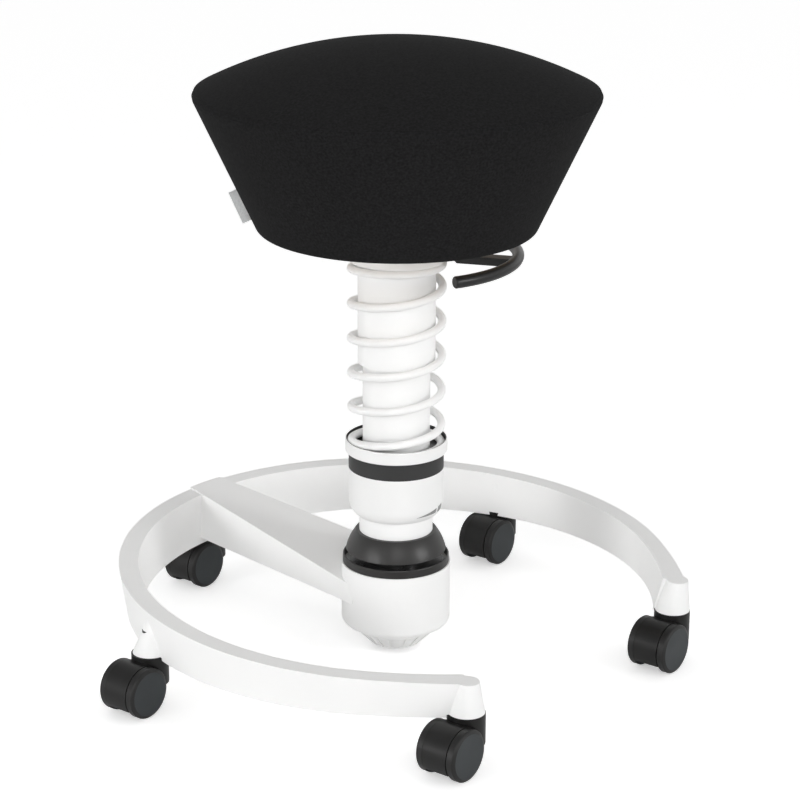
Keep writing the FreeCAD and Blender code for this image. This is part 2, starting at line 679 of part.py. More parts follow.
def spring_gap():
    """Least gap between the wire and itself, measured on points one degree apart."""
    count = int(SPRING_TURNS * 360)
    points = [spring_point(i / 360.0) for i in range(count + 1)]
    least = 1e9
    for i in range(0, count, 3):
        for j in range(i + 180, min(i + 540, count + 1), 3):
            least = min(least, (points[i] - points[j]).Length)
    return least - WIRE_D


def coil_spring():
    edges, least = spring_path()
    path = Part.Wire(edges)
    start = edges[0].valueAt(edges[0].FirstParameter)
    section = Part.Wire(Part.makeCircle(WIRE_D / 2, start, spring_tangent(0)))
    body = path.makePipeShell([section], True, False)
    solid = Part.Solid(body.Shells[0]) if not body.Solids else body.Solids[0]
    expected = math.pi * WIRE_D ** 2 / 4 * path.Length
    print("spring: turns %.2f, tightest arc %.1f, least gap %.2f, volume/expected %.4f"
          % (SPRING_TURNS, least, spring_gap(), solid.Volume / expected))
    return solid


# Column, upper half

def upper_tube():
    return tube(UPPER_TUBE_R, UPPER_TUBE_R - UPPER_TUBE_T, UPPER_TUBE_BOTTOM_Z, FLANGE_Z)


def guide_bush():
    return tube(UPPER_TUBE_R - UPPER_TUBE_T - SEAT, LOWER_TUBE_R + RUN, UPPER_TUBE_BOTTOM_Z + 2,
                UPPER_TUBE_BOTTOM_Z + 2 + BUSH_H)


def inner_bush():
    outer = LOWER_TUBE_R - LOWER_TUBE_T - SEAT
    return tube(outer, STAND_TUBE_R + RUN, LOWER_TUBE_TOP_Z - BUSH_H, LOWER_TUBE_TOP_Z)


def spring_flange():
    top = FLANGE_Z + FLANGE_H
    body = turned([(STAND_TUBE_R + SEAT, FLANGE_Z), (FLANGE_R - 0.8, FLANGE_Z), (FLANGE_R, FLANGE_Z + 0.8),
                   (FLANGE_R, top - 2), (FLANGE_R - 2, top), (STAND_TUBE_R + SEAT, top)])
    return body


def stand_tube():
    inner = STAND_TUBE_R - STAND_TUBE_T
    top = FLANGE_Z + FLANGE_H - 2
    body = tube(STAND_TUBE_R, inner, STAND_TUBE_BOTTOM_Z, top)
    floor = tube(inner + 0.5, ROD_R + RUN, STAND_TUBE_BOTTOM_Z, STAND_TUBE_BOTTOM_Z + STAND_TUBE_FLOOR)
    return body.fuse(floor).removeSplitter()


def top_bush():
    top = FLANGE_Z + FLANGE_H - 2
    return tube(STAND_TUBE_R - STAND_TUBE_T - SEAT, GAS_R + RUN, top - TOP_BUSH_H, top)


def bump_stop():
    return tube(UPPER_TUBE_R - UPPER_TUBE_T - 1, STAND_TUBE_R + 1, FLANGE_Z - BUMPER_H, FLANGE_Z)


def thrust_bearing():
    low = STAND_TUBE_BOTTOM_Z + STAND_TUBE_FLOOR
    rings = [tube(BEARING_R, ROD_R + RUN, low + BEARING_H / 3 * i, low + BEARING_H / 3 * (i + 1) - SEAT)
             for i in range(3)]
    return Part.makeCompound(rings)


# Gas spring

ROD_CLIP_Z = STAND_TUBE_BOTTOM_Z - CLIP_T - 0.2


def gas_rod():
    collar = STAND_TUBE_BOTTOM_Z + STAND_TUBE_FLOOR + BEARING_H + FREE
    body = tube(ROD_R, 0, ROD_CLIP_Z - 3, PISTON_Z + PISTON_H)
    piston = tube(GAS_BORE_R - RUN, 0, PISTON_Z, PISTON_Z + PISTON_H)
    body = body.fuse([piston, tube(8, 0, collar, collar + COLLAR_H)])
    return body.cut(tube(ROD_R + 1, ROD_R - 0.8, ROD_CLIP_Z, ROD_CLIP_Z + CLIP_T + 0.1)).removeSplitter()


def rod_clip():
    return snap_ring(8.5, ROD_R, ROD_CLIP_Z)


def gas_cylinder():
    body = tube(GAS_R, 0, GAS_BOTTOM_Z, GAS_TOP_Z)
    body = body.cut(tube(GAS_BORE_R, 0, GAS_BOTTOM_Z + GAS_END, GAS_TOP_Z - GAS_HEAD))
    body = body.cut(tube(ROD_R + RUN, 0, GAS_BOTTOM_Z - 1, GAS_BOTTOM_Z + GAS_END + 1))
    return body.cut(tube(VALVE_PIN_R + RUN, 0, GAS_TOP_Z - GAS_HEAD - 1, GAS_TOP_Z + 1)).removeSplitter()


def release_button():
    return tube(VALVE_PIN_R, 0, GAS_TOP_Z - 6, GAS_TOP_Z + VALVE_PIN_H)


# Seat

def side_radius(z):
    """Radius of the cushion's side at a height."""
    share = (z - SEAT_BOTTOM_Z) / (SEAT_SEAM_Z - SEAT_BOTTOM_Z)
    return SEAT_FOOT_R + (SEAT_R - SEAT_FOOT_R) * share - SEAT_SIDE_BOW * 4 * share * (1 - share)


def seat_cushion():
    middle_z = (SEAT_BOTTOM_Z + SEAT_SEAM_Z) / 2
    dome_z = SEAT_SEAM_Z - math.sqrt(SEAT_DOME_R ** 2 - SEAT_R ** 2)
    lip_r = SEAT_R - SEAT_LIP
    lip_z = dome_z + math.sqrt(SEAT_DOME_R ** 2 - lip_r ** 2)
    half_r = SEAT_R / 2
    half_z = dome_z + math.sqrt(SEAT_DOME_R ** 2 - half_r ** 2)
    low_z = SEAT_BOTTOM_Z + SEAT_FOOT_ROUND
    foot = side_radius(low_z)
    corner = 0.3 * SEAT_FOOT_ROUND
    pocket = PAN_R + SEAT
    ceiling = PAN_Z + PAN_T + SEAT
    return turned([(0, ceiling + 10), (PAN_HOLE_R + 2, ceiling + 10), (PAN_HOLE_R + 4, ceiling),
                   (pocket, ceiling), (pocket, SEAT_BOTTOM_Z), (foot - SEAT_FOOT_ROUND, SEAT_BOTTOM_Z),
                   (foot, low_z, foot - corner, SEAT_BOTTOM_Z + corner),
                   (SEAT_R, SEAT_SEAM_Z - SEAT_LIP, side_radius(middle_z), middle_z),
                   (lip_r, lip_z, SEAT_R + 0.2, SEAT_SEAM_Z - 0.4),
                   (0, dome_z + SEAT_DOME_R, half_r, half_z)])


def pan_screw_places():
    return [polar(PAN_SCREW_CIRCLE_R, LEVER_DEG + 45 + 360 * i / PAN_SCREWS) for i in range(PAN_SCREWS)]


def seat_pan():
    plate = tube(PAN_R, PAN_HOLE_R, PAN_Z, PAN_Z + PAN_T)
    holes = [tube(SCREW_R + SEAT, 0, PAN_Z - 1, PAN_Z + PAN_T - 1, at) for at in pan_screw_places()]
    return plate.cut(Part.makeCompound(holes))


def lever_frame(shape):
    """Turn a piece drawn along +X to the lever's direction."""
    shape.rotate(V(0, 0, 0), V(0, 0, 1), LEVER_DEG)
    return shape


def pin_bore(radius):
    """The lever pin's bore, a little longer than the pin."""
    half = LEVER_ARM_W / 2 + FREE + 2 * EAR_T
    return Part.makeCylinder(radius, 2 * half, V(LEVER_PIN_AT, -half, LEVER_PIN_Z), V(0, 1, 0))


def seat_hub():
    """Socket on the gas cylinder, plate under the pan and two ears for the lever's pin."""
    socket = tube(SEAT_HUB_R, 0, SEAT_HUB_Z, PAN_Z - 1)
    socket = socket.makeChamfer(2, [e for e in socket.Edges if abs(e.BoundBox.ZMax - SEAT_HUB_Z) < 0.01])
    plate = tube(SEAT_PLATE_R, 0, PAN_Z - SEAT_PLATE_T, PAN_Z)
    low = LEVER_PIN_Z - 6
    reach = 18.0
    ears = []
    for start in (-LEVER_ARM_W / 2 - FREE - EAR_T, LEVER_ARM_W / 2 + FREE):
        ear = Part.makeBox(reach, EAR_T, PAN_Z - 1 - low, V(LEVER_PIN_AT - reach / 2, start, low))
        ears.append(lever_frame(ear))
    width = LEVER_ARM_W + 2 * FREE
    slot = Part.makeBox(1.4 * SEAT_PLATE_R, width, PAN_Z - GAS_TOP_Z + 4, V(-8, -width / 2, GAS_TOP_Z + 0.5))
    bore = tube(GAS_R + SEAT, 0, SEAT_HUB_Z - 1, GAS_TOP_Z).fuse(tube(10, 0, GAS_TOP_Z - 1, PAN_Z + 1))
    pin = pin_bore(LEVER_PIN_R + SEAT)
    screws = [tube(SCREW_R + SEAT, 0, SEAT_HUB_Z, PAN_Z + 1, at) for at in pan_screw_places()]
    body = socket.fuse([plate] + ears)
    return body.cut(Part.makeCompound([bore, lever_frame(pin), lever_frame(slot)] + screws)).removeSplitter()


def pan_screws():
    low = PAN_Z - SEAT_PLATE_T
    out = []
    for at in pan_screw_places():
        head = tube(SCREW_HEAD_R, 0, low - SCREW_HEAD_H, low, at)
        socket = tube(SCREW_R - 0.5, 0, low - SCREW_HEAD_H - 1, low - 1, at)
        out.append(tube(SCREW_R, 0, low - 1, PAN_Z + PAN_T - 1.5, at).fuse(head).cut(socket).removeSplitter())
    return Part.makeCompound(out)


def seat_tag():
    slope = (SEAT_R - SEAT_FOOT_R) / (SEAT_SEAM_Z - SEAT_BOTTOM_Z)
    lean = math.atan(slope)
    out = V(math.cos(lean), 0, -math.sin(lean))
    gap = out * 0.2
    low = V(side_radius(TAG_LOW_Z), 0, TAG_LOW_Z) + gap
    high = V(side_radius(TAG_HIGH_Z), 0, TAG_HIGH_Z) + gap
    corners = [low, low + out * TAG_OUT, high + out * TAG_OUT, high]
    face = Part.Face(Part.makePolygon(corners + corners[:1]))
    body = face.extrude(V(0, TAG_T, 0))
    body.translate(V(0, -TAG_T / 2, 0))
    body.rotate(V(0, 0, 0), V(0, 0, 1), TAG_DEG)
    return body


# Height lever

def release_lever():
    ends = [polar(LEVER_R, side * LEVER_HALF_DEG, LEVER_Z) for side in (-1, 1)]
    path = Part.Wire(Part.Arc(ends[0], V(LEVER_R, 0, LEVER_Z), ends[1]).toShape())
    along = polar(1, 90 - LEVER_HALF_DEG)
    section = Part.Wire(Part.makeCircle(LEVER_ROD_R, ends[0], along))
    handle = path.makePipeShell([section], True, False)
    handle = handle.Solids[0] if handle.Solids else Part.Solid(handle.Shells[0])
    round_edges = [e for e in handle.Edges if e.Curve.TypeId == "Part::GeomCircle"
                   and abs(e.Curve.Radius - LEVER_ROD_R) < 0.1]
    handle = handle.makeFillet(LEVER_ROD_R / 4, round_edges)
    half = LEVER_ARM_T / 2
    knee_low = V(LEVER_KNEE - 3, 0, LEVER_Z - half)
    knee_high = V(LEVER_KNEE, 0, LEVER_Z + half)
    inner = LEVER_PIN_AT - 6
    points = [V(-5, 0, LEVER_FINGER_Z), V(inner - 1, 0, LEVER_FINGER_Z), V(inner, 0, LEVER_PIN_Z - 4),
              V(inner + 6, 0, LEVER_PIN_Z - 6), V(inner + 25, 0, LEVER_PIN_Z - 7), knee_low,
              V(LEVER_R, 0, LEVER_Z - half), V(LEVER_R, 0, LEVER_Z + half), knee_high,
              V(inner + 30, 0, LEVER_PIN_Z), V(inner + 14, 0, LEVER_PIN_Z + 5),
              V(inner + 8, 0, LEVER_FINGER_Z + 5), V(-5, 0, LEVER_FINGER_Z + 5)]
    arm = Part.Face(Part.makePolygon(points + points[:1])).extrude(V(0, LEVER_ARM_W, 0))
    arm.translate(V(0, -LEVER_ARM_W / 2, 0))
    return lever_frame(handle.fuse(arm).cut(pin_bore(LEVER_PIN_R + RUN)).removeSplitter())


def lever_pin():
    half = LEVER_ARM_W / 2 + FREE + EAR_T
    pin = Part.makeCylinder(LEVER_PIN_R, 2 * half, V(LEVER_PIN_AT, -half, LEVER_PIN_Z), V(0, 1, 0))
    return lever_frame(pin)


# Castors, drawn with the stem on Z and the wheels trailing towards +X

def side_cylinder(radius, low, high):
    """A cylinder along Y about the wheel's axis."""
    return Part.makeCylinder(radius, high - low, V(TRAIL, low, WHEEL_R), V(0, 1, 0))


def castor_housing():
    """Hood between the two wheel discs, open below, with the neck that carries the stem."""
    hood = side_cylinder(HOOD_R, -HOOD_HALF, HOOD_HALF)
    far = 4 * HOOD_R
    hood = hood.cut(Part.makeBox(2 * far, 2 * far, far, V(-far, -far, HOOD_OPEN_Z - far)))
    neck = tube(CASTOR_NECK_R, 0, CASTOR_NECK_LOW, CASTOR_NECK_TOP)
    body = hood.fuse(neck)
    room = []
    for side in (1, -1):
        low, high = sorted((side * WEB_HALF, side * HOOD_HALF))
        room.append(side_cylinder(HOOD_BORE_R, low, high))
        low, high = sorted((side * HOOD_HALF, side * 2 * AXLE_HALF))
        room.append(side_cylinder(WHEEL_R + 0.4, low, high))
    room.append(side_cylinder(AXLE_R + SEAT, -2 * AXLE_HALF, 2 * AXLE_HALF))
    room.append(tube(CASTOR_STEM_R + SEAT, 0, CASTOR_STEM_LOW - SEAT, CASTOR_NECK_TOP + 1))
    return body.cut(Part.makeCompound(room)).removeSplitter()


def castor_pins():
    """The upright stem and the axle, two steel pins."""
    stem = Part.makeCylinder(CASTOR_STEM_R, CASTOR_STEM_TOP - CASTOR_STEM_LOW, V(0, 0, CASTOR_STEM_LOW))
    stem = stem.makeChamfer(0.8, [e for e in stem.Edges if abs(e.BoundBox.ZMin - CASTOR_STEM_TOP) < 0.01])
    return Part.makeCompound([stem, side_cylinder(AXLE_R, -AXLE_HALF, AXLE_HALF)])


def castor_wheel(side):
    """Flat disc with the tread outside, and a hollow inner drum that runs in the hood."""
    bore = AXLE_R + RUN
    outer = WHEEL_OUTER
    deep = outer - 4.0
    low = WEB_HALF + FREE
    points = [(bore, low), (WHEEL_HUB_R, low), (WHEEL_HUB_R, deep), (WHEEL_INNER_R - WHEEL_RIM_T, deep),
              (WHEEL_INNER_R - WHEEL_RIM_T, low + 0.5), (WHEEL_INNER_R, low + 0.5),
              (WHEEL_INNER_R, DISC_INNER), (WHEEL_R - 0.5, DISC_INNER), (WHEEL_R, DISC_INNER + 0.5),
              (WHEEL_R, outer - WHEEL_CHAMFER + 0.4), (WHEEL_R - 0.8, outer - WHEEL_CHAMFER + 1.4),
              (WHEEL_R - WHEEL_CHAMFER - 1, outer), (0, outer),
              (0, AXLE_HALF + 0.5), (bore, AXLE_HALF + 0.5)]
    wheel = turned(points)
    wheel.rotate(V(0, 0, 0), V(1, 0, 0), -90 if side > 0 else 90)
    wheel.translate(V(TRAIL, 0, WHEEL_R))
    return wheel


def place_castor(shape, at):
    shape.rotate(V(0, 0, 0), V(0, 0, 1), TRAIL_DEG)
    shape.translate(at)
    return shape


def main():
    os.makedirs("parts", exist_ok=True)
    pieces = (
        base_casting, castor_sockets, bearing_cup, bearing_cap, cap_screws, flex_buffer, boot_ring,
        firmness_knob, knob_clip, pressure_plate, bearing_liner, pivot_stem, stem_nut, boot_dome,
        column_neck, lower_tube, inner_bush, spring_seat, coil_spring, spring_cup,
        upper_tube, guide_bush, bump_stop, spring_flange, stand_tube, top_bush, thrust_bearing,
        gas_rod, rod_clip, gas_cylinder, release_button,
        seat_hub, seat_pan, pan_screws, seat_cushion, seat_tag, release_lever, lever_pin,
    )
    for make in pieces:
        save(make(), make.__name__)
    save(spindle_end(), "knob_spindle")
    names = ("rear", "left_side", "right_side", "left_front", "right_front")
    for name, at in zip(names, castor_places()):
        save(place_castor(castor_housing(), at), "castor_" + name + "_housing")
        save(place_castor(castor_pins(), at), "castor_" + name + "_pins")
        save(place_castor(castor_wheel(1), at), "castor_" + name + "_wheel_a")
        save(place_castor(castor_wheel(-1), at), "castor_" + name + "_wheel_b")


main()
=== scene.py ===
import json
import math

import bmesh
import bpy
from mathutils import Matrix, Vector


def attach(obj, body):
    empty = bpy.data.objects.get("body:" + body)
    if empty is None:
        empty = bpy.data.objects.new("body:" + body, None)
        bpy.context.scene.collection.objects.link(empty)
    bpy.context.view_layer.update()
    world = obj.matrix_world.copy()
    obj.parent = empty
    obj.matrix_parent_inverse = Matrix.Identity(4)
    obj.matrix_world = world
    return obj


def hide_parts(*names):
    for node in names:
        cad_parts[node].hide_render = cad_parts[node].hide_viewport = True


# Wobble stool. The frame holds every hard piece; this script dresses the seat in felt, gives each
# piece its finish and sets the light, the floor and the camera. Metres, origin on the floor at the
# column's axis, +Y along the base's arm.

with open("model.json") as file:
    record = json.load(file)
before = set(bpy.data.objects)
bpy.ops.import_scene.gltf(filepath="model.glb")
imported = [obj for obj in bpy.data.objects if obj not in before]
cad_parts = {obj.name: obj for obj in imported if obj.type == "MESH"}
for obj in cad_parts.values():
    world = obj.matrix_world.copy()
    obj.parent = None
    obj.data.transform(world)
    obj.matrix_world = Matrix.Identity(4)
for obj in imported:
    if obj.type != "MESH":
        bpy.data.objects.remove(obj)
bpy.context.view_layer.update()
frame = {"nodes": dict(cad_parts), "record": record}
nodes = frame["nodes"]

# Camera, as the photograph was taken
CAMERA_DISTANCE = 2.3857
CAMERA_HEIGHT = 1.066
CAMERA_YAW = math.radians(-48.126)
CAMERA_PITCH = 0.321825
CAMERA_ROLL = 0.0034823
FOCAL_PIXELS = 2470.97
IMAGE_PIXELS = 800
SHIFT_PIXELS = 3.608
SENSOR_MM = 36.0

# Light
SKY_LOW = 1.0                 # strength of the white surroundings near the horizon
SKY_HIGH = 0.45               # and overhead
SKY_LOW_END = 0.05            # upward part of a direction where the first of them starts to change
SKY_HIGH_END = 0.75           # and where the second is reached
FLOOR_GLOW = 0.43             # what the camera sees the floor give by itself, so that it reads white
FLOOR_DROP = 0.0005           # keeps the floor clear of the wheels

# Seat
SEAT_R = 0.2027               # corner between the side and the dome, before its rounding
SEAM_Z = 0.5886
FOOT_R = 0.1387
BOTTOM_Z = 0.4506
CROWN_Z = 0.63823
FOOT_ROUND = 0.009
RIM_ROUND = 0.007
HEM_INNER_R = 0.1283
HEM_Z = 0.4522
HEM_RISE = 0.001
COVER_THICKNESS = 0.0015
SEAM_RIDGE = 0.00045          # the sewn seam shows as two fine ridges along the rim
SEAM_WIDTH = 0.0006
SEAM_OFFSETS = (0.0012, 0.0048)  # up the surface from where the rim is widest
SEAT_STEPS = 288              # round the axis
FOOT_STEPS = 8
SIDE_STEPS = 30
RIM_STEPS = 36
DOME_STEPS = 80

# Spring cup, for the printed scale on it and for the shade painted dark into the bore of its rim
CUP_R = 0.0489
CUP_ROUND_Z = 0.165
CUP_ROUND_R = 0.018624
CUP_INSIDE_R = 0.0512
CUP_INSIDE_Z = 0.2
PRINT_LIFT = 0.00012

# Wheels: direction of the axles, and how squarely a face must look along it to be one of the flat ones
AXLE = (0.0680, -0.9977, 0.0)
FLAT_FACE = 0.97

# A noise is stretched from this range to the full one
NOISE_LOW = 0.3
NOISE_HIGH = 0.7

# Sockets of a colour mix, which share their names
MIX_SHARE, MIX_FIRST, MIX_SECOND, MIX_RESULT = 0, 6, 7, 2


# Materials

def new_material(name):
    material = bpy.data.materials.new(name)
    material.use_nodes = True
    tree = material.node_tree
    return material, tree, tree.nodes["Principled BSDF"]


def add_node(tree, kind, **values):
    node = tree.nodes.new(kind)
    for key, value in values.items():
        if key in node.inputs:
            node.inputs[key].default_value = value
        else:
            setattr(node, key, value)
    return node


def noise_between(tree, scale, low, high, detail=4.0, stretch=(1, 1, 1)):
    """A noise that runs between two values or two colours over the piece's own coordinates."""
    place = add_node(tree, "ShaderNodeTexCoord")
    turn = add_node(tree, "ShaderNodeMapping", Scale=stretch)
    noise = add_node(tree, "ShaderNodeTexNoise", Scale=scale, Detail=detail)
    tree.links.new(place.outputs["Object"], turn.inputs["Vector"])
    tree.links.new(turn.outputs["Vector"], noise.inputs["Vector"])
    if isinstance(low, tuple):
        ramp = add_node(tree, "ShaderNodeValToRGB")
        ramp.color_ramp.elements[0].position = NOISE_LOW
        ramp.color_ramp.elements[1].position = NOISE_HIGH
        ramp.color_ramp.elements[0].color = low + (1.0,)
        ramp.color_ramp.elements[1].color = high + (1.0,)
        tree.links.new(noise.outputs["Fac"], ramp.inputs["Fac"])
        return noise, ramp.outputs["Color"]
    spread = add_node(tree, "ShaderNodeMapRange")
    spread.inputs["From Min"].default_value = NOISE_LOW
    spread.inputs["From Max"].default_value = NOISE_HIGH
    spread.inputs["To Min"].default_value = low
    spread.inputs["To Max"].default_value = high
    tree.links.new(noise.outputs["Fac"], spread.inputs["Value"])
    return noise, spread.outputs["Result"]


def add_bump(tree, shader, height, strength, distance):
    bump = add_node(tree, "ShaderNodeBump", Strength=strength, Distance=distance)
    tree.links.new(height, bump.inputs["Height"])
    tree.links.new(bump.outputs["Normal"], shader.inputs["Normal"])


def moulded(name, low, high, rough, grain=900.0, bump=0.1, shine=0.5, coat=0.0):
    """A smooth finish: two near colours in soft clouds, a slightly varying roughness and a fine grain."""
    material, tree, shader = new_material(name)
    _, colour = noise_between(tree, 14.0, low, high)
    _, roughness = noise_between(tree, 45.0, rough - 0.05, rough + 0.05)
    grains, _ = noise_between(tree, grain, 0.0, 1.0)
    tree.links.new(colour, shader.inputs["Base Color"])
    tree.links.new(roughness, shader.inputs["Roughness"])
    shader.inputs["Specular IOR Level"].default_value = shine
    shader.inputs["Coat Weight"].default_value = coat
    add_bump(tree, shader, grains.outputs["Fac"], bump, 0.0002)
    return material


def metal(name, colour, rough, stretch=(1, 1, 40)):
    """Drawn or turned steel: fine lines along one direction."""
    material, tree, shader = new_material(name)
    darker = tuple(0.8 * c for c in colour)
    _, tint = noise_between(tree, 30.0, darker, colour, stretch=stretch)
    lines, roughness = noise_between(tree, 160.0, rough - 0.08, rough + 0.08, stretch=stretch)
    shader.inputs["Metallic"].default_value = 1.0
    tree.links.new(tint, shader.inputs["Base Color"])
    tree.links.new(roughness, shader.inputs["Roughness"])
    add_bump(tree, shader, lines.outputs["Fac"], 0.08, 0.0001)
    return material


def felt(name, low, high, scale=1.0):
    """Close wool felt: matted fibres in two sizes and a soft sheen."""
    material, tree, shader = new_material(name)
    _, colour = noise_between(tree, 420.0 * scale, low, high, detail=6.0)
    fibres, _ = noise_between(tree, 900.0 * scale, 0.0, 1.0, detail=8.0, stretch=(1, 1, 0.4))
    clouds, _ = noise_between(tree, 60.0 * scale, 0.0, 1.0, detail=3.0)
    both = add_node(tree, "ShaderNodeMath", operation="MULTIPLY_ADD")
    both.inputs[1].default_value = 0.35
    tree.links.new(clouds.outputs["Fac"], both.inputs[0])
    tree.links.new(fibres.outputs["Fac"], both.inputs[2])
    tree.links.new(colour, shader.inputs["Base Color"])
    shader.inputs["Roughness"].default_value = 0.95
    shader.inputs["Specular IOR Level"].default_value = 0.05
    shader.inputs["Sheen Weight"].default_value = 0.01
    shader.inputs["Sheen Roughness"].default_value = 0.6
    add_bump(tree, shader, both.outputs["Value"], 0.25, 0.0005)
    return material


def wood(name):
    material, tree, shader = new_material(name)
    along = (1, 14, 14)
    _, colour = noise_between(tree, 9.0, (0.42, 0.27, 0.15), (0.6, 0.44, 0.28), detail=8.0, stretch=along)
    grain, roughness = noise_between(tree, 60.0, 0.5, 0.7, stretch=along)
    tree.links.new(colour, shader.inputs["Base Color"])
    tree.links.new(roughness, shader.inputs["Roughness"])
    add_bump(tree, shader, grain.outputs["Fac"], 0.2, 0.0003)
    return material


def masked(material, mask, colour):
    """Gives the material another colour where mask, a function of its tree, returns 1."""
    tree = material.node_tree
    shader = tree.nodes["Principled BSDF"]
    before = shader.inputs["Base Color"].links[0].from_socket
    mix = add_node(tree, "ShaderNodeMix", data_type="RGBA")
    mix.inputs[MIX_SECOND].default_value = colour + (1.0,)
    tree.links.new(mask(tree), mix.inputs[MIX_SHARE])
    tree.links.new(before, mix.inputs[MIX_FIRST])
    tree.links.new(mix.outputs[MIX_RESULT], shader.inputs["Base Color"])
    return material


def off_the_flat_faces(tree):
    """1 where a wheel's surface doesn't face along its axle."""
    place = add_node(tree, "ShaderNodeTexCoord")
    turn = add_node(tree, "ShaderNodeVectorMath", operation="DOT_PRODUCT")
    turn.inputs[1].default_value = AXLE
    size = add_node(tree, "ShaderNodeMath", operation="ABSOLUTE")
    less = add_node(tree, "ShaderNodeMath", operation="LESS_THAN")
    less.inputs[1].default_value = FLAT_FACE
    tree.links.new(place.outputs["Normal"], turn.inputs[0])
    tree.links.new(turn.outputs["Value"], size.inputs[0])
    tree.links.new(size.outputs["Value"], less.inputs[0])
    return less.outputs["Value"]


def painted_shade_in_the_cup(tree):
    """1 on the bore of the spring cup's rim, where shade is painted in dark."""
    place = add_node(tree, "ShaderNodeTexCoord")
    flat = add_node(tree, "ShaderNodeVectorMath", operation="MULTIPLY")
    flat.inputs[1].default_value = (1, 1, 0)
    reach = add_node(tree, "ShaderNodeVectorMath", operation="LENGTH")
    less = add_node(tree, "ShaderNodeMath", operation="LESS_THAN")
    less.inputs[1].default_value = CUP_INSIDE_R
    split = add_node(tree, "ShaderNodeSeparateXYZ")
    above = add_node(tree, "ShaderNodeMath", operation="GREATER_THAN")
    above.inputs[1].default_value = CUP_INSIDE_Z
    both = add_node(tree, "ShaderNodeMath", operation="MULTIPLY")
    tree.links.new(place.outputs["Object"], flat.inputs[0])
    tree.links.new(flat.outputs["Vector"], reach.inputs[0])
    tree.links.new(reach.outputs["Value"], less.inputs[0])
    tree.links.new(place.outputs["Object"], split.inputs["Vector"])
    tree.links.new(split.outputs["Z"], above.inputs[0])
    tree.links.new(less.outputs["Value"], both.inputs[0])
    tree.links.new(above.outputs["Value"], both.inputs[1])
    return both.outputs["Value"]


MATERIALS = {
    "white_paint": moulded(
        "white_paint", (0.89, 0.89, 0.885), (0.91, 0.91, 0.905), 0.5, 700.0, 0.06, 0.35),
    "white_plastic": moulded(
        "white_plastic", (0.85, 0.85, 0.845), (0.88, 0.88, 0.87), 0.5, 1100.0, 0.1, 0.35),
    "rubber_black": moulded(
        "rubber_black", (0.013, 0.0125, 0.012), (0.02, 0.019, 0.018), 0.4, 1300.0, 0.15),
    "castor_plastic": moulded(
        "castor_plastic", (0.007, 0.0068, 0.0066), (0.011, 0.0107, 0.0104), 0.4, 900.0, 0.12, 0.3),
    "wheel_plastic": masked(
        moulded("wheel_plastic", (0.021, 0.0245, 0.027), (0.028, 0.033, 0.036), 0.42, 900.0, 0.12, 0.4),
        off_the_flat_faces, (0.008, 0.0078, 0.0076)),
    # White paint, with shade painted dark into the bore of the cup's rim
    "cup_paint_and_painted_shade": masked(
        moulded("cup_paint_and_painted_shade", (0.84, 0.84, 0.835), (0.86, 0.86, 0.855), 0.5, 700.0, 0.06, 0.35),
        painted_shade_in_the_cup, (0.03, 0.03, 0.03)),
    "print": moulded("print", (0.24, 0.245, 0.24), (0.3, 0.305, 0.3), 0.5, 600.0, 0.05),
    "bush_plastic": moulded("bush_plastic", (0.6, 0.59, 0.55), (0.66, 0.65, 0.61), 0.45),
    "lever_plastic": moulded(
        "lever_plastic", (0.009, 0.009, 0.009), (0.014, 0.014, 0.014), 0.36, 900.0, 0.12, 0.35),
    "black_steel": moulded(
        "black_steel", (0.016, 0.016, 0.016), (0.022, 0.022, 0.022), 0.3, 600.0, 0.05, coat=0.2),
    "steel": metal("steel", (0.62, 0.62, 0.61), 0.32),
    "plywood": wood("plywood"),
    "seat_fabric": felt("seat_fabric", (0.0085, 0.0085, 0.0087), (0.0165, 0.0165, 0.017)),
    "tag_textile": felt("tag_textile", (0.58, 0.59, 0.59), (0.72, 0.73, 0.73), 1.6),
}

# Nodes whose material differs from their slot's plain one; the spring cup's adds shade painted dark into
# the bore of its rim
FINISHES = {"spring_cup": "cup_paint_and_painted_shade"}


def dress(obj, slot_name):
    obj.data.materials.clear()
    obj.data.materials.append(MATERIALS[slot_name])


def dress_frame():
    slots = {entry["node"]: entry["material_slot"] for entry in frame["record"]["subparts"]}
    for name, obj in nodes.items():
        for index in range(len(obj.material_slots)):
            obj.material_slots[index].material = MATERIALS[FINISHES.get(name, slots[name])]


# Seat

def side_radius(z):
    return FOOT_R + (SEAT_R - FOOT_R) * (z - BOTTOM_Z) / (SEAM_Z - BOTTOM_Z)


def arc_points(centre, radius, start, end, steps):
    turns = [math.radians(start + (end - start) * i / steps) for i in range(steps + 1)]
    return [(centre[0] + radius * math.cos(a), centre[1] + radius * math.sin(a)) for a in turns]


def line_points(start, end, steps):
    """Points between two others, both left out."""
    shares = [i / steps for i in range(1, steps)]
    return [tuple(p + (q - p) * t for p, q in zip(start, end)) for t in shares]


